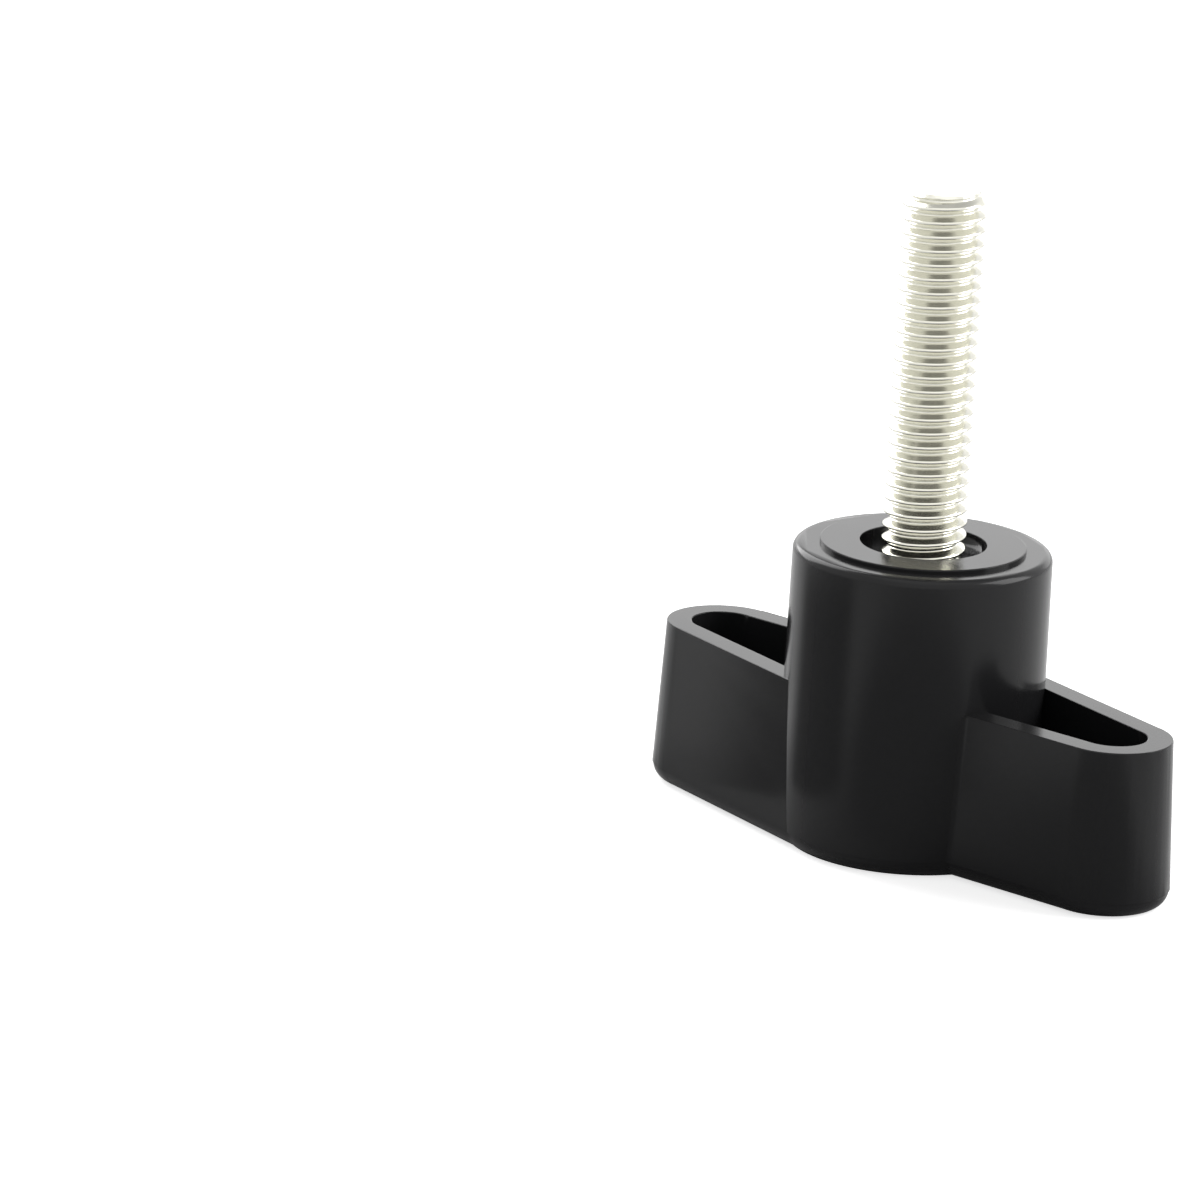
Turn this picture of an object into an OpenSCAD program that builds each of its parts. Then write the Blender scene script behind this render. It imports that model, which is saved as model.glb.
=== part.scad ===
// Thumb screw: a black moulded wing knob around a threaded steel stud.
// It stands on the flat face of its head, with the stud pointing up.
// Millimetres. The origin is on the stud's axis in the plane of the head face.
// The plan is an S: each wing has one wall that leaves the hub as a tangent,
// and one wall that meets the hub in an inside corner.

/* [Hub] */
// Hub radius where the rounded edge of the head face ends
hub_foot_r = 9.3; // [7:0.1:13]
// Draft of the hub's side, in degrees
hub_draft = 0.5; // [0:0.1:3]
// Height of the hub's end above the head face
hub_h = 21.5; // [15:0.1:30]
// Rounding of the hub's upper edge
shoulder_r = 0.6; // [0.3:0.05:1.5]

/* [Bearing disc] */
// Diameter of the raised disc on the hub's end
disc_d = 14.5; // [11:0.1:17]
// How far the disc stands above the hub's end
disc_h = 0.3; // [0.1:0.05:1]
// Diameter of the well that surrounds the stud
well_d = 8.9; // [7:0.1:10.5]
// Depth of that well below the disc
well_depth = 1.5; // [0.5:0.1:4]

/* [Wings] */
// Height of the wing rims above the head face
wing_h = 11.9; // [6:0.1:15]
// Distance from the stud's axis to the centre of a wing's round tip
wing_reach = 17.7; // [14:0.1:26]
// Radius of a wing's tip where the rounded edge of the head face ends
tip_r = 4.7; // [4:0.1:6]
// Angle between the wing's long axis and the wall with the inside corner
corner_lean = 1.2; // [-3:0.1:6]
// Draft of the wings' outer walls, in degrees
wing_draft = 2.7; // [0:0.1:4]
// Radius that softens the inside corner between a wing and the hub
corner_r = 1; // [0.5:0.1:2]
// How far the tangent wall lies inside the hub's side where it leaves it
tangent_sink = 0.1; // [0.05:0.05:0.5]
// How far the flat walls lie inside the round side of the tip
wall_sink = 0.02; // [0.01:0.01:0.1]

/* [Pockets] */
// Wall thickness round a pocket, measured at the rim
wall_t = 1.8; // [1.2:0.05:2.4]
// Thickness of the head under a pocket
pocket_floor = 2.4; // [1.5:0.1:4]
// Draft of the pocket's walls, in degrees
pocket_draft = 1; // [0:0.1:3]

/* [Head face] */
// Rounding between the head face and the sides, which ends at the parting line
face_round = 1.2; // [0.6:0.1:2]
// Ledge at the parting line
parting_step = 0.06; // [0:0.01:0.2]
// Diameter of the round recess in the head face
recess_d = 10.4; // [6:0.1:13]
// Depth of the recess at its outer wall
recess_depth = 1; // [0.5:0.05:1.6]
// Height of each ring step inside the recess
ring_step = 0.33; // [0.1:0.01:0.5]
// Radii of the ring steps, from the outermost to the middle
ring_radii = [4.6, 3.5, 2.4, 1.4];

/* [Stud] */
// Outside diameter of the stud's metric thread
thread_d = 6; // [5:0.5:8]
// Length of the stud above the bearing disc
free_len = 25.3; // [10:0.1:60]
// Chamfer at the stud's free end
tip_chamfer = 0.6; // [0.2:0.1:1]
// Width across the flats of the head that anchors the stud in the knob
anchor_af = 10; // [8:0.5:13]
// Height of that anchoring head
anchor_h = 4; // [2:0.5:6]
// Diameter of the plain shank between the anchoring head and the thread
shank_d = 5.3; // [4:0.1:7.5]
// Solid plastic between the deepest ring of the recess and the anchoring head
anchor_cover = 2.7; // [1:0.1:6]
// Gap between the stud and the plastic that is moulded round it
mould_gap = 0; // [0:0.01:0.1]

/* [Hidden] */
$fn = 72;
small_fn = 32;
cut = 1;
top_z = hub_h + disc_h;
well_z = top_z - well_depth;
anchor_z = recess_depth + len(ring_radii) * ring_step + anchor_cover;
stud_end = top_z + free_len;
rim_inset = (wing_h - face_round) * tan(wing_draft);
pocket_r = tip_r - rim_inset - wall_t;
pocket_deep = wing_h - pocket_floor;
tangent_slant = asin((hub_foot_r - tangent_sink - tip_r) / wing_reach);
tangent_run = wing_reach * cos(tangent_slant);
corner_run = wing_reach * cos(corner_lean);
core_lap = 1;
corner_sink = 0.03;
web_drop = 0.1;

// A corner of a wing's core: a distance back from the tip along one wall, and a lap
// into the band of that wall, so that the core and the band overlap.
function core_point(slant, back, side) = [
    core_lap * sin(slant) - back * cos(slant),
    side * (core_lap * cos(slant) + back * sin(slant))
];

// Centre of the round hollow in a wing's inside corner, for the hub's radius and the
// wall's distance from the tip's centre at one height.
function corner_centre(hub_r, wall) =
    let (
        away = wall + corner_r,
        start = [wing_reach + away * sin(corner_lean), -away * cos(corner_lean)],
        along = [-cos(corner_lean), -sin(corner_lean)],
        b = start * along,
        run = -b - sqrt(b * b - start * start + pow(hub_r + corner_r, 2))
    )
    start + run * along;

// Side of the moulding as a flat shape: x is the distance outwards, y the height.
// The head face's rounding ends in the small ledge of the parting line.
module side_profile(reach, top, draft) {
    arc_x = reach - parting_step - face_round;
    polygon([
        [0, face_round],
        [reach, face_round],
        [reach - (top - face_round) * tan(draft), top],
        [0, top]
    ]);
    square([arc_x, face_round]);
    intersection() {
        translate([arc_x, face_round]) circle(r = face_round, $fn = small_fn);
        square([reach, face_round]);
    }
}

// Side of a pocket as a flat shape: widest at the rim, and carried on past both ends.
module pocket_profile(reach) {
    lean = tan(pocket_draft);
    polygon([
        [0, pocket_floor - cut],
        [reach - (pocket_deep + cut) * lean, pocket_floor - cut],
        [reach + cut * lean, wing_h + cut],
        [0, wing_h + cut]
    ]);
}

// Carries a side shape round one wing: round its tip, back along the tangent wall
// and back along the wall with the inside corner. A plain core fills the middle.
// The first child is the tip's side and the second is the walls' side.
module round_wing(low, high, extra) {
    run_a = tangent_run + extra;
    run_b = corner_run + extra;
    translate([wing_reach, 0, 0]) {
        rotate_extrude() children(0);
        rotate([0, 0, -tangent_slant]) translate([-run_a, 0, 0])
            rotate([90, 0, 90]) linear_extrude(run_a) children(1);
        rotate([0, 0, corner_lean]) mirror([0, 1, 0]) translate([-run_b, 0, 0])
            rotate([90, 0, 90]) linear_extrude(run_b) children(1);
        translate([0, 0, low]) linear_extrude(high - low) polygon([
            core_point(tangent_slant, 0, 1),
            core_point(tangent_slant, run_a, 1),
            core_point(-corner_lean, run_b, -1),
            core_point(-corner_lean, 0, -1)
        ]);
    }
}

// Hub with its rounded shoulder and the head face's rounded edge.
module hub() {
    shoulder_z = hub_h - shoulder_r;
    shoulder_x = hub_foot_r - (shoulder_z - face_round) * tan(hub_draft);
    rotate_extrude() {
        side_profile(hub_foot_r, shoulder_z, hub_draft);
        square([shoulder_x - shoulder_r, hub_h]);
        intersection() {
            translate([shoulder_x - shoulder_r, shoulder_z])
                circle(r = shoulder_r, $fn = small_fn);
            translate([0, shoulder_z]) square([hub_foot_r, shoulder_r]);
        }
    }
    cylinder(r = disc_d / 2, h = top_z);
}

// Web that softens a wing's inside corner, from the parting line to just under the rim.
// It follows the lean of the two drafted walls, and its ends lie inside them.
module corner_web() {
    rise = wing_h - face_round;
    low = corner_centre(hub_foot_r, tip_r);
    high = corner_centre(hub_foot_r - rise * tan(hub_draft), tip_r - rim_inset);
    lean = (high - low) / rise;
    to_hub = -low / norm(low);
    to_wall = [-sin(corner_lean), cos(corner_lean)];
    reach = corner_r + 0.5;
    intersection() {
        translate([low[0], low[1], face_round])
            rotate([-atan(lean[1]), atan(lean[0]), 0])
                translate([0, 0, -cut]) linear_extrude(rise + 2 * cut)
                    difference() {
                        polygon(reach * [[0, 0], to_wall, to_wall + to_hub, to_hub]);
                        circle(r = corner_r + corner_sink);
                    }
        translate([0, -wing_reach, face_round])
            cube([wing_reach, wing_reach, rise - web_drop]);
    }
}

// One hollow wing. Its inner end runs on into the hub, which closes the pocket.
module wing() {
    difference() {
        union() {
            round_wing(0, wing_h, 0) {
                side_profile(tip_r, wing_h, wing_draft);
                side_profile(tip_r - wall_sink, wing_h, wing_draft);
            }
            corner_web();
        }
        intersection() {
            round_wing(pocket_floor - cut, wing_h + cut, cut) {
                pocket_profile(pocket_r);
                pocket_profile(pocket_r - wall_sink);
            }
            translate([-wing_reach, -wing_reach, pocket_floor])
                cube([3 * wing_reach, 2 * wing_reach, wing_h]);
        }
    }
}

// Round recess in the head face, with ring steps that go down to its middle.
module recess() {
    translate([0, 0, -cut]) cylinder(d = recess_d, h = cut + recess_depth);
    for (i = [0 : len(ring_radii) - 1])
        cylinder(r = ring_radii[i], h = recess_depth + (i + 1) * ring_step);
}

// The hidden end of the stud. The same solid, grown by the gap, is cut from the knob.
module stud_anchor(gap) {
    translate([0, 0, anchor_z - gap])
        cylinder(r = anchor_af / 2 / cos(30) + gap, h = anchor_h + 2 * gap, $fn = 6);
    translate([0, 0, anchor_z])
        cylinder(r = shank_d / 2 + gap, h = well_z + cut - anchor_z);
}

module knob() {
    color([0.035, 0.035, 0.038])
    difference() {
        union() {
            hub();
            for (turn = [0, 180])
                rotate([0, 0, turn]) wing();
        }
        recess();
        translate([0, 0, well_z]) cylinder(d = well_d, h = well_depth + cut);
        stud_anchor(mould_gap);
    }
}

module stud() {
    color([0.72, 0.71, 0.69]) {
        stud_anchor(0);
        translate([0, 0, well_z])
            cylinder(r = thread_d / 2, h = stud_end - tip_chamfer - well_z);
        translate([0, 0, stud_end - tip_chamfer])
            cylinder(r1 = thread_d / 2, r2 = thread_d / 2 - tip_chamfer, h = tip_chamfer);
    }
}

knob();
stud();
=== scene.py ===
# %% [markdown]
# # A thumb screw for the bench
# The object is a small screw that is turned by hand. A black moulded knob with
# two hollow wings holds a zinc-plated steel stud. It stands on its head with
# the stud pointing up. The solid model gives every size. This lesson dresses it:
# it cuts the thread, gives the plastic and the zinc their finish, and lights them.

import math

import bmesh
import bpy
from mathutils import Euler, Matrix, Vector


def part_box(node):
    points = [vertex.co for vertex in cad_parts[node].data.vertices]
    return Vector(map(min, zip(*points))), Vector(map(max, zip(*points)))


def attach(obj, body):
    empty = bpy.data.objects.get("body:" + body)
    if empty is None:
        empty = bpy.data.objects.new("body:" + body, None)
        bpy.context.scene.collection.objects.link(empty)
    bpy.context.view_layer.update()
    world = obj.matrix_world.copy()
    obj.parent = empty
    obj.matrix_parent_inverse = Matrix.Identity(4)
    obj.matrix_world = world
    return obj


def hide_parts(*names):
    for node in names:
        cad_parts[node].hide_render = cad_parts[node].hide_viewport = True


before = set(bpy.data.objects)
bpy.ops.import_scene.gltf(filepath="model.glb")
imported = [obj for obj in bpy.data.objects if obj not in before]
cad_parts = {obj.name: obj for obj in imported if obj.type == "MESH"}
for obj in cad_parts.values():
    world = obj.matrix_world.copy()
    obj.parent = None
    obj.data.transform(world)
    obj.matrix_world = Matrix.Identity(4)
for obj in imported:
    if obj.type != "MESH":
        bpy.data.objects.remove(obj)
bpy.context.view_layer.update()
MM = 0.001

# %% [markdown]
# ## Small helpers
# Node trees are built by hand below, and the same three steps come back each
# time: add a node, set its values, link its sockets. A helper for each keeps
# the later cells short enough to read.


# %% Helpers for node trees
def add_node(tree, kind, values=None, **settings):
    node = tree.nodes.new(kind)
    for name, value in settings.items():
        setattr(node, name, value)
    for key, value in (values or {}).items():
        node.inputs[key].default_value = value
    return node


def math_node(tree, operation, first, second=None, third=None):
    """A Math node whose inputs are numbers or sockets."""
    node = add_node(tree, "ShaderNodeMath", operation=operation)
    for index, source in enumerate((first, second, third)):
        if source is None:
            continue
        if isinstance(source, (int, float)):
            node.inputs[index].default_value = source
        else:
            tree.links.new(source, node.inputs[index])
    return node.outputs[0]


def new_material(name):
    """A material with a lone Principled shader, and the shader."""
    material = bpy.data.materials.new(name)
    material.use_nodes = True
    return material, material.node_tree.nodes["Principled BSDF"]


# %% [markdown]
# ## The camera
# The photograph was taken from a little above the knob with a long lens, so
# near and far parts come out almost the same size. Half a metre away is far
# enough for that look. The place and the turn were worked out from the edges
# of the wings, the hub and the stud.

# %% Camera
CAMERA_PLACE = (0.29601, -0.37267, 0.15329)
CAMERA_TURN = (73.910, -2.844, 41.978)
LENS_MM = 211.33

camera_data = bpy.data.cameras.new("camera")
camera_data.lens = LENS_MM
camera_data.sensor_width = 36.0
camera_data.clip_end = 20.0
camera = bpy.data.objects.new("camera", camera_data)
camera.location = CAMERA_PLACE
camera.rotation_euler = Euler([math.radians(a) for a in CAMERA_TURN])
bpy.context.scene.collection.objects.link(camera)
bpy.context.scene.camera = camera
print("camera", round(Vector(CAMERA_PLACE).length, 3), "m from the head face")

# %% [markdown]
# ## Zinc-plated steel
# Bright zinc is a metal with a faint warm tint. Its plating is a little rough,
# and a rolled thread has fine marks that run along its turns. A small noise
# varies the roughness, and a second one roughens the surface.

# %% Zinc finish
zinc, zinc_shader = new_material("bright_zinc")
tree = zinc.node_tree
zinc_shader.inputs["Base Color"].default_value = (0.84, 0.83, 0.74, 1.0)
zinc_shader.inputs["Metallic"].default_value = 1.0
place = add_node(tree, "ShaderNodeTexCoord")
cloud = add_node(tree, "ShaderNodeTexNoise", {"Scale": 900.0, "Detail": 3.0})
tree.links.new(place.outputs["Object"], cloud.inputs["Vector"])
spread = add_node(tree, "ShaderNodeMapRange", {3: 0.16, 4: 0.22})
tree.links.new(cloud.outputs[0], spread.inputs[0])
tree.links.new(spread.outputs[0], zinc_shader.inputs["Roughness"])
grain = add_node(tree, "ShaderNodeTexNoise", {"Scale": 5000.0, "Detail": 2.0})
tree.links.new(place.outputs["Object"], grain.inputs["Vector"])
bump = add_node(tree, "ShaderNodeBump", {"Strength": 0.12, "Distance": 0.00002})
tree.links.new(grain.outputs[0], bump.inputs["Height"])
tree.links.new(bump.outputs[0], zinc_shader.inputs["Normal"])
print("made", zinc.name)

# %% [markdown]
# ## Moulded black plastic
# The plastic is black all through, so the colour is nearly nothing and what
# the eye sees is its sheen. The mould leaves a very fine texture. A noise bump
# gives that, and another noise makes the sheen a little uneven.

# %% Plastic finish
plastic, plastic_shader = new_material("black_moulding")
tree = plastic.node_tree
plastic_shader.inputs["Base Color"].default_value = (0.014, 0.014, 0.0148, 1.0)
plastic_shader.inputs["Specular IOR Level"].default_value = 0.25
place = add_node(tree, "ShaderNodeTexCoord")
cloud = add_node(tree, "ShaderNodeTexNoise", {"Scale": 260.0, "Detail": 4.0})
tree.links.new(place.outputs["Object"], cloud.inputs["Vector"])
spread = add_node(tree, "ShaderNodeMapRange", {3: 0.14, 4: 0.20})
tree.links.new(cloud.outputs[0], spread.inputs[0])
tree.links.new(spread.outputs[0], plastic_shader.inputs["Roughness"])
grain = add_node(tree, "ShaderNodeTexNoise", {"Scale": 6500.0, "Detail": 2.0})
tree.links.new(place.outputs["Object"], grain.inputs["Vector"])
bump = add_node(tree, "ShaderNodeBump", {"Strength": 0.08, "Distance": 0.00002})
tree.links.new(grain.outputs[0], bump.inputs["Height"])
tree.links.new(bump.outputs[0], plastic_shader.inputs["Normal"])
print("made", plastic.name)

# %% [markdown]
# ## The thread
# A metric thread is one groove that climbs by its pitch in each turn. It could
# be cut with a boolean, but a rule is cleaner: a flat grid is rolled into a
# tube whose rows climb like the groove, and each row's radius comes from its
# place in the groove. Geometry Nodes does both with one Set Position node.
# Rows past an end are pressed flat against it and merged away, so the tube
# gets a level end, and a chamfer is just an upper limit on the radius.

# %% Sizes of the stud
stud_low, stud_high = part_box("stud")
STUD = {
    "Pitch": 1.0 * MM,
    "Crest Radius": 2.96 * MM,
    "Groove Depth": 0.60 * MM,
    "Low End": stud_low[2] + 0.5 * MM,
    "High End": stud_high[2],
    "Start Turn": 0.607,
    "Shank Radius": 2.6 * MM,
    "Groove Start": 20.3 * MM,
    "End Radius": 2.28 * MM,
    "Anchor Width": 10.0 * MM,
    "Anchor Height": 4.0 * MM,
    "Anchor Low": stud_low[2],
}
ROWS_PER_TURN = 16
STEPS_AROUND = 72
turns = math.ceil((STUD["High End"] - STUD["Low End"]) / STUD["Pitch"]) + 2
print("thread rows:", turns * ROWS_PER_TURN, "steps around:", STEPS_AROUND)


# %% The thread's node tree
def thread_tree():
    tree = bpy.data.node_groups.new("helical_thread", "GeometryNodeTree")
    face = tree.interface
    face.new_socket("Geometry", in_out="INPUT", socket_type="NodeSocketGeometry")
    face.new_socket("Geometry", in_out="OUTPUT", socket_type="NodeSocketGeometry")
    for name in STUD:
        face.new_socket(name, in_out="INPUT", socket_type="NodeSocketFloat")
    face.new_socket("Material", in_out="INPUT", socket_type="NodeSocketMaterial")
    source = add_node(tree, "NodeGroupInput").outputs
    sink = add_node(tree, "NodeGroupOutput").inputs

    grid = add_node(
        tree,
        "GeometryNodeMeshGrid",
        {
            "Size X": 1.0,
            "Size Y": 1.0,
            "Vertices X": STEPS_AROUND + 1,
            "Vertices Y": turns * ROWS_PER_TURN + 1,
        },
    )
    spot = add_node(tree, "ShaderNodeSeparateXYZ")
    tree.links.new(add_node(tree, "GeometryNodeInputPosition").outputs[0], spot.inputs[0])
    around = math_node(tree, "ADD", spot.outputs[0], 0.5)
    turn = math_node(tree, "MULTIPLY", math_node(tree, "ADD", spot.outputs[1], 0.5), turns)
    angle = math_node(tree, "ADD", around, source["Start Turn"])
    angle = math_node(tree, "MULTIPLY", angle, math.tau)

    # the height climbs by one pitch around the tube, and is kept between the ends
    climb = math_node(tree, "ADD", math_node(tree, "SUBTRACT", turn, 1.0), around)
    free = math_node(tree, "MULTIPLY_ADD", climb, source["Pitch"], source["Low End"])
    height = math_node(tree, "MINIMUM", free, source["High End"])
    height = math_node(tree, "MAXIMUM", height, source["Low End"])

    # depth in the groove: 0 on the flat crest and 1 at the flat root, which are an
    # eighth of the pitch wide, with the straight flanks of a metric thread between
    saw = math_node(tree, "SUBTRACT", math_node(tree, "FRACT", turn), 0.5)
    wave = math_node(tree, "MULTIPLY", math_node(tree, "ABSOLUTE", saw), 2.0)
    flank = add_node(tree, "ShaderNodeMapRange", {1: 0.125, 2: 0.875, 3: 0.0, 4: 1.0})
    tree.links.new(wave, flank.inputs[0])
    fade = add_node(
        tree, "ShaderNodeMapRange", {3: 0.0, 4: 1.0}, interpolation_type="SMOOTHSTEP"
    )
    tree.links.new(height, fade.inputs[0])
    tree.links.new(source["Groove Start"], fade.inputs[1])
    tree.links.new(
        math_node(tree, "ADD", source["Groove Start"], source["Groove Depth"]),
        fade.inputs[2],
    )
    deep = math_node(tree, "MULTIPLY", flank.outputs[0], source["Groove Depth"])
    cut = math_node(tree, "SUBTRACT", source["Crest Radius"], deep)
    blend = add_node(tree, "ShaderNodeMix", data_type="FLOAT")
    tree.links.new(fade.outputs[0], blend.inputs[0])
    tree.links.new(source["Shank Radius"], blend.inputs[2])
    tree.links.new(cut, blend.inputs[3])
    radius = blend.outputs[0]
    left = math_node(tree, "SUBTRACT", source["High End"], height)
    radius = math_node(
        tree, "MINIMUM", radius, math_node(tree, "ADD", source["End Radius"], left)
    )

    roll = add_node(tree, "ShaderNodeCombineXYZ")
    for index, wheel in enumerate(("COSINE", "SINE")):
        swing = math_node(tree, "MULTIPLY", math_node(tree, wheel, angle), radius)
        tree.links.new(swing, roll.inputs[index])
    tree.links.new(height, roll.inputs[2])
    tube = add_node(tree, "GeometryNodeSetPosition")
    tree.links.new(grid.outputs[0], tube.inputs["Geometry"])
    tree.links.new(roll.outputs[0], tube.inputs["Position"])

    join = add_node(tree, "GeometryNodeJoinGeometry")
    tree.links.new(tube.outputs[0], join.inputs[0])
    for end, size, flipped in (
        ("High End", "End Radius", False),
        ("Low End", "Shank Radius", True),
    ):
        disc = add_node(
            tree, "GeometryNodeMeshCircle", {"Vertices": STEPS_AROUND}, fill_type="NGON"
        )
        tree.links.new(source[size], disc.inputs["Radius"])
        lift = add_node(tree, "GeometryNodeTransform")
        tree.links.new(disc.outputs[0], lift.inputs["Geometry"])
        twist = add_node(tree, "ShaderNodeCombineXYZ")
        tree.links.new(math_node(tree, "MULTIPLY", source["Start Turn"], math.tau), twist.inputs[2])
        tree.links.new(twist.outputs[0], lift.inputs["Rotation"])
        offset = add_node(tree, "ShaderNodeCombineXYZ")
        tree.links.new(source[end], offset.inputs[2])
        tree.links.new(offset.outputs[0], lift.inputs["Translation"])
        shut = lift.outputs[0]
        if flipped:
            flip = add_node(tree, "GeometryNodeFlipFaces")
            tree.links.new(shut, flip.inputs[0])
            shut = flip.outputs[0]
        tree.links.new(shut, join.inputs[0])
    merge = add_node(tree, "GeometryNodeMergeByDistance", {"Distance": 0.000001})
    tree.links.new(join.outputs[0], merge.inputs[0])

    # the hexagon that holds the stud in the knob
    corner = math_node(tree, "MULTIPLY", source["Anchor Width"], 0.5 / math.cos(math.radians(30)))
    hexagon = add_node(tree, "GeometryNodeMeshCylinder", {"Vertices": 6})
    tree.links.new(corner, hexagon.inputs["Radius"])
    tree.links.new(source["Anchor Height"], hexagon.inputs["Depth"])
    seat = add_node(tree, "GeometryNodeTransform")
    tree.links.new(hexagon.outputs[0], seat.inputs["Geometry"])
    offset = add_node(tree, "ShaderNodeCombineXYZ")
    middle = math_node(tree, "MULTIPLY_ADD", source["Anchor Height"], 0.5, source["Anchor Low"])
    tree.links.new(middle, offset.inputs[2])
    tree.links.new(offset.outputs[0], seat.inputs["Translation"])
    both = add_node(tree, "GeometryNodeJoinGeometry")
    tree.links.new(merge.outputs[0], both.inputs[0])
    tree.links.new(seat.outputs[0], both.inputs[0])

    real = add_node(tree, "GeometryNodeRealizeInstances")
    tree.links.new(both.outputs[0], real.inputs[0])
    paint = add_node(tree, "GeometryNodeSetMaterial")
    tree.links.new(real.outputs[0], paint.inputs["Geometry"])
    tree.links.new(source["Material"], paint.inputs["Material"])
    tree.links.new(paint.outputs[0], sink[0])
    return tree


# %% Make the stud
def plain_mesh(holder, name):
    """The evaluated mesh of an object, as an object of its own at the origin."""
    graph = bpy.context.evaluated_depsgraph_get()
    mesh = bpy.data.meshes.new_from_object(holder.evaluated_get(graph))
    mesh.name = name
    piece = bpy.data.objects.new(name, mesh)
    bpy.context.scene.collection.objects.link(piece)
    bpy.data.objects.remove(holder)
    return piece


holder = bpy.data.objects.new("thread_holder", bpy.data.meshes.new("thread_holder"))
bpy.context.scene.collection.objects.link(holder)
modifier = holder.modifiers.new("thread", "NODES")
tree = thread_tree()
sockets = {s.name: s.identifier for s in tree.interface.items_tree if s.in_out == "INPUT"}
modifier.node_group = tree
for name, value in STUD.items():
    modifier[sockets[name]] = value
modifier[sockets["Material"]] = zinc
stud = plain_mesh(holder, "threaded_stud")
stud.data.shade_smooth()
stud.data.set_sharp_from_angle(angle=math.radians(65))
for edge in stud.data.edges:
    if all(stud.data.vertices[i].co.z > stud_high[2] - 0.001 * MM for i in edge.vertices):
        edge.use_edge_sharp = True
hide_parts("stud")
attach(stud, "root")
print("stud:", len(stud.data.polygons), "faces")

# %% [markdown]
# ## The knob
# The solid already has the knob's whole shape, drafts and all, so a copy of its
# mesh is used. A real moulding has no knife edges: the rims of the wings, the
# disc, its well and the recess underneath are eased by about a tenth of a
# millimetre, and that is what catches a thin line of light. The copy is merged
# and its flat faces are cleared of triangles first, so that the bevel has clean
# edges to run along.

# %% Sizes of the eased edges
EASE = 0.09 * MM
EASE_STEPS = 2
knob_low, knob_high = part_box("knob")
RIM_HEIGHT = 11.9 * MM
LEVELS = (knob_low[2], RIM_HEIGHT, knob_high[2])
print("edges eased at heights", [round(z / MM, 2) for z in LEVELS], "mm")


# %% Ease the knob's edges
def eased_copy(node, name):
    """A merged copy of a solid's mesh with its level outer edges rounded."""
    work = bmesh.new()
    work.from_mesh(bpy.data.objects[node].data)
    bmesh.ops.remove_doubles(work, verts=work.verts, dist=0.002 * MM)
    bmesh.ops.dissolve_limit(
        work, angle_limit=math.radians(1.5), verts=work.verts, edges=work.edges
    )
    level = [
        edge
        for edge in work.edges
        if edge.is_convex
        and edge.calc_face_angle(0.0) > math.radians(35)
        and any(all(abs(v.co.z - z) < 0.01 * MM for v in edge.verts) for z in LEVELS)
    ]
    bmesh.ops.bevel(
        work,
        geom=level,
        offset=EASE,
        segments=EASE_STEPS,
        profile=0.5,
        affect="EDGES",
        clamp_overlap=False,
    )
    mesh = bpy.data.meshes.new(name)
    work.to_mesh(mesh)
    work.free()
    piece = bpy.data.objects.new(name, mesh)
    bpy.context.scene.collection.objects.link(piece)
    print(name, "eased", len(level), "edges")
    return piece


knob = eased_copy("knob", "knob_holder")
knob.data.materials.append(plastic)
knob.data.shade_smooth()
knob.data.set_sharp_from_angle(angle=math.radians(32))
flat_first = knob.modifiers.new("flat_first", "WEIGHTED_NORMAL")
flat_first.keep_sharp = True
knob = plain_mesh(knob, "moulded_knob")
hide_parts("knob")
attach(knob, "root")
print("knob:", len(knob.data.polygons), "faces")

# %% [markdown]
# ## The inside corners
# Each wing has one wall that meets the hub in an inside corner, softened by a
# small radius. Its mesh is a few narrow strips with a slight crease at each side.
# On a glossy surface that crease would draw a line, so the strips get normals
# that turn evenly from the wall's to the hub's.

# %% Sizes of the inside corners
CORNER_RADIUS = 1.03 * MM
CORNER_LOW = Vector((8.4462, -5.8951, 1.2)) * MM
CORNER_HIGH = Vector((8.6700, -5.3857, 11.9)) * MM
WALL_NORMAL = Vector((0.0209, -0.9987, 0.0471))


# %% Even out the corner's normals
def turn_normals(piece):
    mesh = piece.data
    normals = [Vector(corner.vector) for corner in mesh.corner_normals]
    strips = 0
    for face in mesh.polygons:
        side = 1.0 if face.center.x > 0 else -1.0
        turned = Vector((side, side, 1.0))

        def axis_from(point):
            point = point * turned
            share = (point.z - CORNER_LOW.z) / (CORNER_HIGH.z - CORNER_LOW.z)
            gap = CORNER_LOW.lerp(CORNER_HIGH, share) - point
            return gap

        reach = axis_from(face.center)
        close = abs(reach.length - CORNER_RADIUS) < 0.015 * MM
        if not close or face.normal.dot((reach * turned).normalized()) < 0.99:
            continue
        strips += 1
        for index in face.loop_indices:
            point = mesh.vertices[mesh.loops[index].vertex_index].co
            ray = axis_from(point).normalized()
            hub_normal = (axis_from(point) + point * turned) * Vector((1, 1, 0))
            hub_normal.normalize()
            whole = WALL_NORMAL.angle(hub_normal)
            crease = math.acos(1.0 * MM / CORNER_RADIUS)
            share = (WALL_NORMAL.angle(ray) - crease) / (whole - 2 * crease)
            even = WALL_NORMAL.slerp(hub_normal, min(1.0, max(0.0, share)))
            normals[index] = even * turned
    mesh.normals_split_custom_set(normals)
    print("evened", strips, "strips")


turn_normals(knob)

# %% [markdown]
# ## The hub's side
# The hub is turned round: a cone with half a degree of draft, ended by a rounded
# shoulder. Its mesh is cut up by the wings, and long thin faces there would show
# as faint streaks in the sheen. The true direction of a cone and of a rounding is
# known at every point, so it is written in place of the mesh's own.

# %% Sizes of the hub's side
HUB_FOOT = 9.3 * MM
HUB_DRAFT = math.radians(0.5)
SIDE_LOW = 1.2 * MM
SHOULDER_LOW = 20.9 * MM
SHOULDER_RADIUS = 0.6 * MM
DISC_RADIUS = 7.25 * MM
NEAR = 0.03 * MM


# %% Give the hub its true normals
def hub_ring(height):
    return HUB_FOOT - (height - SIDE_LOW) * math.tan(HUB_DRAFT)


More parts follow.
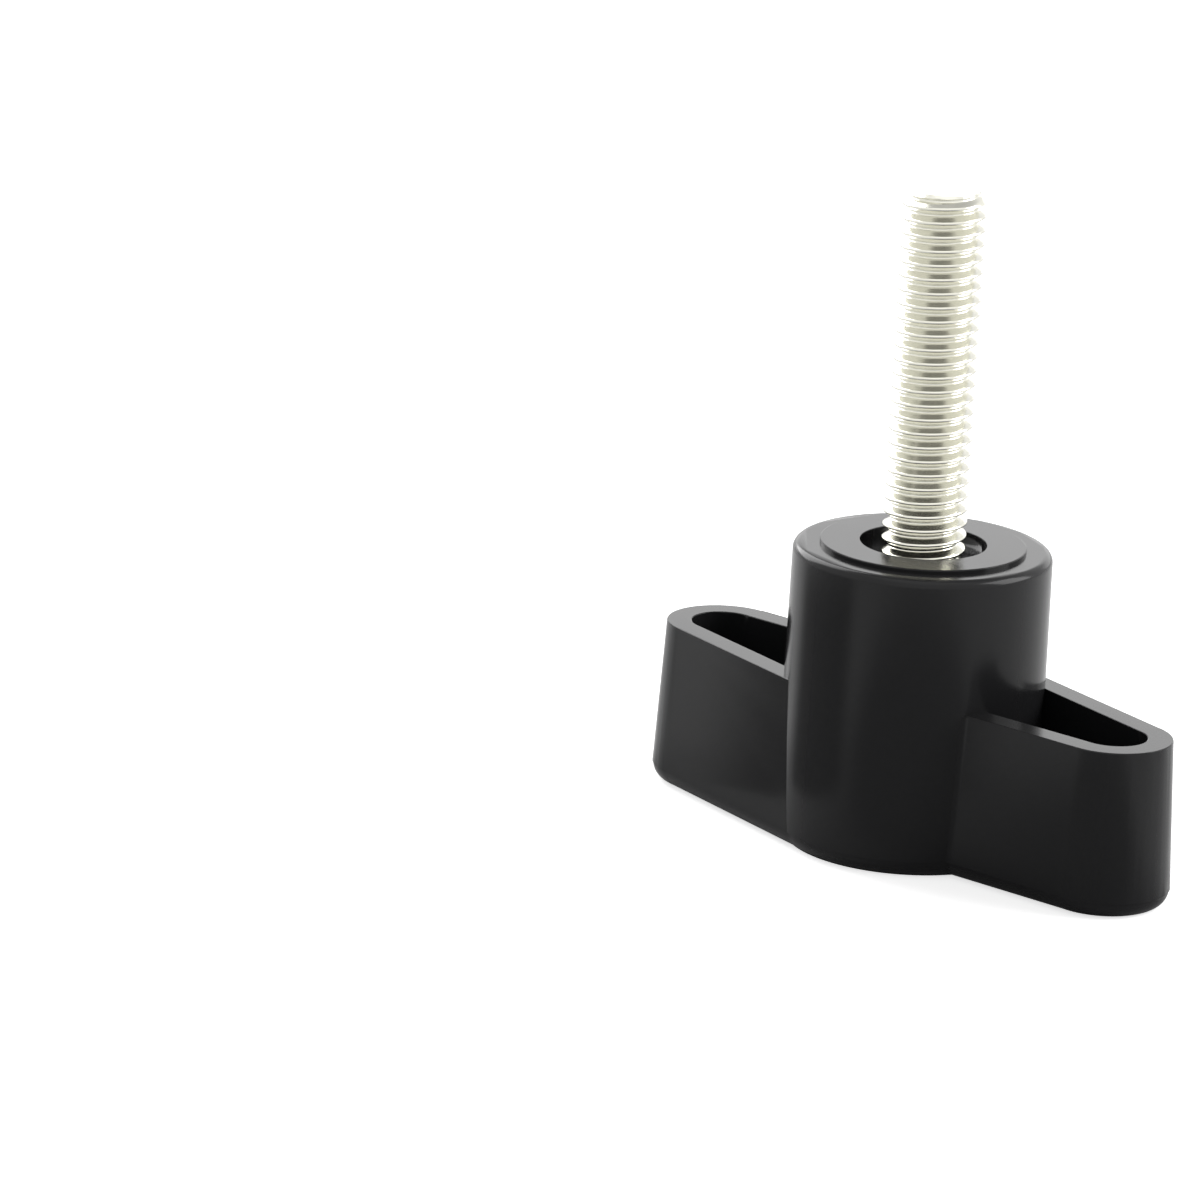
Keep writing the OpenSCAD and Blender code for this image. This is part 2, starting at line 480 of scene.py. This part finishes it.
def true_hub_normals(piece):
    mesh = piece.data
    normals = [Vector(corner.vector) for corner in mesh.corner_normals]
    middle = hub_ring(SHOULDER_LOW) - SHOULDER_RADIUS
    changed = {"side": 0, "shoulder": 0, "disc": 0}
    for face in mesh.polygons:
        spots = [mesh.vertices[index].co for index in face.vertices]
        rings = [(spot.xy.length, spot.z) for spot in spots]
        low = min(z for r, z in rings)
        if all(z < SHOULDER_LOW + 4 * NEAR and abs(r - hub_ring(z)) < NEAR for r, z in rings):
            kind = "side" if SIDE_LOW - NEAR < low < SHOULDER_LOW - SHOULDER_RADIUS else "shoulder"
        elif all(abs(math.hypot(r - middle, z - SHOULDER_LOW) - SHOULDER_RADIUS) < NEAR for r, z in rings):
            kind = "shoulder"
        elif all(abs(r - DISC_RADIUS) < NEAR / 10 for r, z in rings):
            kind = "disc"
        else:
            continue
        if low < SIDE_LOW - NEAR or kind == "shoulder" and low < SHOULDER_LOW - NEAR:
            continue
        changed[kind] += 1
        for index, spot, (r, z) in zip(face.loop_indices, spots, rings):
            up = {"side": math.sin(HUB_DRAFT), "disc": 0.0}.get(kind)
            if up is None:
                up = min(1.0, max(0.0, (z - SHOULDER_LOW) / SHOULDER_RADIUS))
            out = math.sqrt(1.0 - up * up) / r
            normals[index] = Vector((spot.x * out, spot.y * out, up))
    mesh.normals_split_custom_set(normals)
    print("faces with true normals:", changed)


true_hub_normals(knob)

# %% [markdown]
# ## The light tent
# Small shiny hardware is photographed in a white tent with dark cards in it,
# because bare steel shows nothing but what is around it. The world stands for
# the tent. It is white to the camera and in reflections, while the light that it
# throws on the object stays moderate, so colours come out about as written. A
# card is a round patch of the world's directions that is darker or brighter, and
# only reflections see it. One darkens the shoulder of the hub, and one puts a
# bright line on the crests of the thread.

# %% World
CARDS = (
    ("top", (-0.320, 0.404, 0.857), 35, 14, 0.45),
    ("overhead", (0.15, -0.19, 0.970), 30, 18, 1.25),
)
world = bpy.data.worlds.new("tent")
bpy.context.scene.world = world
world.use_nodes = True
tree = world.node_tree
tree.nodes.clear()
path = add_node(tree, "ShaderNodeLightPath")
seen = math_node(tree, "MAXIMUM", path.outputs["Is Camera Ray"], path.outputs["Is Transmission Ray"])

# the cards, for reflections only: each one has a soft round edge
ways = add_node(tree, "ShaderNodeTexCoord")
level = None
for name, towards, outer, inner, strength in CARDS:
    facing = add_node(tree, "ShaderNodeVectorMath", {1: towards}, operation="DOT_PRODUCT")
    tree.links.new(ways.outputs["Generated"], facing.inputs[0])
    edges = {1: math.cos(math.radians(outer)), 2: math.cos(math.radians(inner))}
    card = add_node(
        tree,
        "ShaderNodeMapRange",
        {**edges, 3: 1.0, 4: strength},
        interpolation_type="SMOOTHSTEP",
    )
    tree.links.new(facing.outputs["Value"], card.inputs[0])
    level = card.outputs[0] if level is None else math_node(tree, "MULTIPLY", level, card.outputs[0])
glow = add_node(tree, "ShaderNodeBackground", {"Color": (1, 1, 1, 1), "Strength": 1.0})
shine = add_node(tree, "ShaderNodeBackground", {"Color": (1, 1, 1, 1)})
tree.links.new(level, shine.inputs["Strength"])
dim = add_node(tree, "ShaderNodeBackground", {"Color": (1, 1, 1, 1), "Strength": 0.45})
gloss = add_node(tree, "ShaderNodeMixShader")
tree.links.new(path.outputs["Is Glossy Ray"], gloss.inputs[0])
tree.links.new(dim.outputs[0], gloss.inputs[1])
tree.links.new(shine.outputs[0], gloss.inputs[2])
blend = add_node(tree, "ShaderNodeMixShader")
out = add_node(tree, "ShaderNodeOutputWorld")
tree.links.new(seen, blend.inputs[0])
tree.links.new(gloss.outputs[0], blend.inputs[1])
tree.links.new(glow.outputs[0], blend.inputs[2])
tree.links.new(blend.outputs[0], out.inputs[0])

# %% [markdown]
# ## The floor
# A plain sheet of white paper. It keeps the object's shadow, and a little glow
# for the camera alone makes it run into the white background without a line.
# In reflections alone, its colour is painted darker in a soft patch in front of the object.
# This painted dark reflection stands in for a black card lying just out of view.
# The flanks of the thread throw the view down onto it, so this painted reflection
# gives each turn its dark band.

# %% Floor
FLOOR_SIZE = 3.0
DARK_REFLECTION_PLACE = (0.0321, -0.0383, 0.0)
DARK_REFLECTION_INNER = 0.030
DARK_REFLECTION_OUTER = 0.050
half = FLOOR_SIZE / 2
floor_mesh = bpy.data.meshes.new("floor")
floor_mesh.from_pydata(
    [(-half, -half, 0), (half, -half, 0), (half, half, 0), (-half, half, 0)], [], [(0, 1, 2, 3)]
)
floor = bpy.data.objects.new("floor", floor_mesh)
bpy.context.scene.collection.objects.link(floor)
paper, paper_shader = new_material("floor_paper")
tree = paper.node_tree
paper_shader.inputs["Base Color"].default_value = (0.86, 0.86, 0.86, 1.0)
paper_shader.inputs["Roughness"].default_value = 0.9
paper_shader.inputs["Specular IOR Level"].default_value = 0.0
paper_shader.inputs["Emission Color"].default_value = (1, 1, 1, 1)
path = add_node(tree, "ShaderNodeLightPath")
lift = math_node(tree, "MULTIPLY", path.outputs["Is Camera Ray"], 0.68)
tree.links.new(lift, paper_shader.inputs["Emission Strength"])
spot = add_node(tree, "ShaderNodeTexCoord")
away = add_node(tree, "ShaderNodeVectorMath", {1: DARK_REFLECTION_PLACE}, operation="DISTANCE")
tree.links.new(spot.outputs["Object"], away.inputs[0])
dark_reflection_patch = add_node(
    tree, "ShaderNodeMapRange", {1: DARK_REFLECTION_INNER, 2: DARK_REFLECTION_OUTER, 3: 1.0, 4: 0.0}, interpolation_type="SMOOTHSTEP"
)
tree.links.new(away.outputs["Value"], dark_reflection_patch.inputs[0])
# painted dark reflection: near this spot, glossy rays alone see the paper darkened towards 0.25
reflection_darkening = math_node(tree, "MULTIPLY", dark_reflection_patch.outputs[0], path.outputs["Is Glossy Ray"])
paper_tone_with_painted_reflection = add_node(tree, "ShaderNodeMix", {6: (0.86, 0.86, 0.86, 1), 7: (0.25, 0.25, 0.25, 1)}, data_type="RGBA")
tree.links.new(reflection_darkening, paper_tone_with_painted_reflection.inputs[0])
tree.links.new(paper_tone_with_painted_reflection.outputs[2], paper_shader.inputs["Base Color"])
floor_mesh.materials.append(paper)

# %% [markdown]
# ## Lamps
# Three large soft boxes stand behind and above, one on each side and one low at
# the back. The back one is what the flat top of the disc and the rims reflect,
# which is why they are pale although the plastic is black.


# %% Lamps
def soft_lamp(name, place, size, power, aim=(0, 0, 0.015)):
    data = bpy.data.lights.new(name, "AREA")
    data.shape = "RECTANGLE"
    data.size, data.size_y = size
    data.energy = power
    lamp = bpy.data.objects.new(name, data)
    lamp.location = place
    lamp.rotation_euler = (Vector(aim) - Vector(place)).to_track_quat("-Z", "Y").to_euler()
    bpy.context.scene.collection.objects.link(lamp)
    return lamp


soft_lamp("left_box", (-0.60, 0.10, 0.42), (0.5, 0.6), 3.5)
soft_lamp("right_box", (0.50, 0.45, 0.42), (0.5, 0.6), 4.0)
soft_lamp("back_box", (-0.42, 0.53, 0.175), (1.1, 0.24), 0.68)
print("lamps in place")

# %% [markdown]
# ## The dark card in reflections
# A small black card with soft edges stands to the left of the object. It casts no shadow
# and throws no light, and only reflections see it. It is a painted dark reflection
# that deepens the left wing and the left of the hub towards their inside corner.

# %% Dark card seen only in reflections
DARK_CARD_WIDTH = 0.029
DARK_CARD_HEIGHT = 0.022
dark_card_mesh = bpy.data.meshes.new("flag")
dark_card_mesh.from_pydata(
    [
        (-DARK_CARD_WIDTH / 2, 0.0, 0.0),
        (DARK_CARD_WIDTH / 2, 0.0, 0.0),
        (DARK_CARD_WIDTH / 2, 0.0, DARK_CARD_HEIGHT),
        (-DARK_CARD_WIDTH / 2, 0.0, DARK_CARD_HEIGHT),
    ],
    [],
    [(0, 1, 2, 3)],
)
flag = bpy.data.objects.new("flag", dark_card_mesh)
flag.location = (-0.0129, -0.0184, 0.0)
flag.rotation_euler[2] = math.radians(-51.5)
bpy.context.scene.collection.objects.link(flag)
dark_reflection_paint, dark_reflection_shader = new_material("painted_dark_reflection")
dark_reflection_shader.inputs["Base Color"].default_value = (0.01, 0.01, 0.01, 1.0)
dark_reflection_shader.inputs["Specular IOR Level"].default_value = 0.0
tree = dark_reflection_paint.node_tree
spot = add_node(tree, "ShaderNodeTexCoord")
split = add_node(tree, "ShaderNodeSeparateXYZ")
tree.links.new(spot.outputs["Object"], split.inputs[0])
across = add_node(
    tree,
    "ShaderNodeMapRange",
    {1: DARK_CARD_WIDTH * 0.26, 2: DARK_CARD_WIDTH / 2, 3: 1.0, 4: 0.0},
    interpolation_type="SMOOTHSTEP",
)
tree.links.new(math_node(tree, "ABSOLUTE", split.outputs[0]), across.inputs[0])
upward = add_node(
    tree,
    "ShaderNodeMapRange",
    {1: DARK_CARD_HEIGHT * 0.6, 2: DARK_CARD_HEIGHT, 3: 1.0, 4: 0.0},
    interpolation_type="SMOOTHSTEP",
)
tree.links.new(split.outputs[2], upward.inputs[0])
# painted dark reflection: how strongly the card shows, fading at its sides and top
painted_darkness = math_node(tree, "MULTIPLY", across.outputs[0], upward.outputs[0])
painted_darkness = math_node(tree, "MULTIPLY", painted_darkness, 0.7)
tree.links.new(painted_darkness, dark_reflection_shader.inputs["Alpha"])
dark_card_mesh.materials.append(dark_reflection_paint)
flag.visible_camera = False
flag.visible_shadow = False
flag.visible_diffuse = False

# %% [markdown]
# ## Finish
# The plain view transform keeps tones as the materials give them.

# %% Finish
bpy.context.scene.view_settings.view_transform = "Standard"
